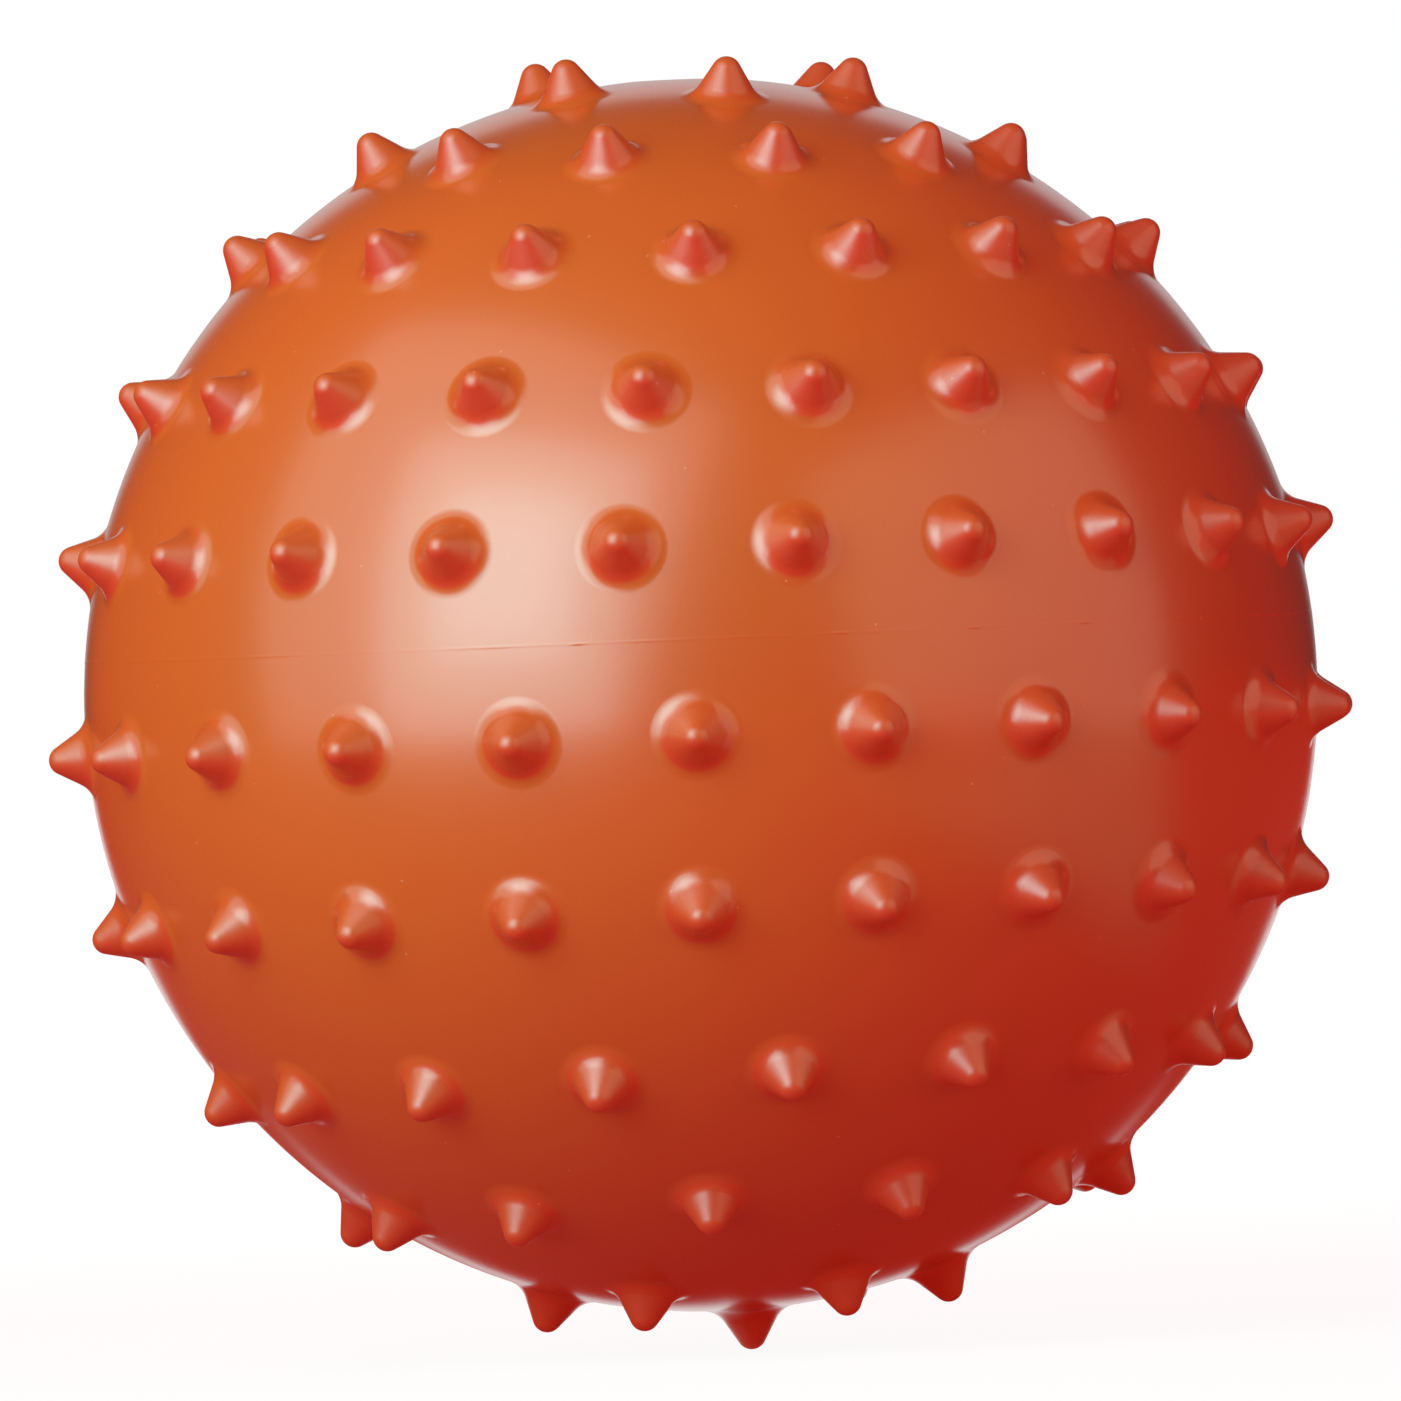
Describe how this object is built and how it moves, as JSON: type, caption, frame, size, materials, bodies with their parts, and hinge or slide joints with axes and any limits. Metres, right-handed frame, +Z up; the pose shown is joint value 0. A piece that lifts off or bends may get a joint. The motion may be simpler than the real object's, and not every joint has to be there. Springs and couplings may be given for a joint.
{
  "type": "sensory ball",
  "caption": "Soft hollow vinyl ball covered in rings of round-nosed knobs for squeezing and rolling on the skin, blown up through a small valve with a pull-out stopper.",
  "frame": {"origin": "on the floor under the ball's centre, level with the tip of the bottom knob that it stands on", "axes": "+Z up along the mould's axis and out through the valve in the crown, -Y towards the front that the picture shows, +X to the right in that view"},
  "size_m": [0.2116, 0.2123, 0.21],
  "materials": {
    "orange_vinyl": "soft orange-red vinyl with a satin gloss, a little light passes through the knobs",
    "valve_vinyl": "soft off-white vinyl, satin"
  },
  "bodies": {
    "ball": {"upper_half": "orange_vinyl", "lower_half": "orange_vinyl", "valve_bush": "valve_vinyl"},
    "stopper": {"valve_stopper": "valve_vinyl"}
  },
  "joints": [
    {"name": "stopper_pull", "type": "slide", "parent": "ball", "child": "stopper", "axis": [0, 0, 1], "range_m": [0, 0.02]}
  ]
}
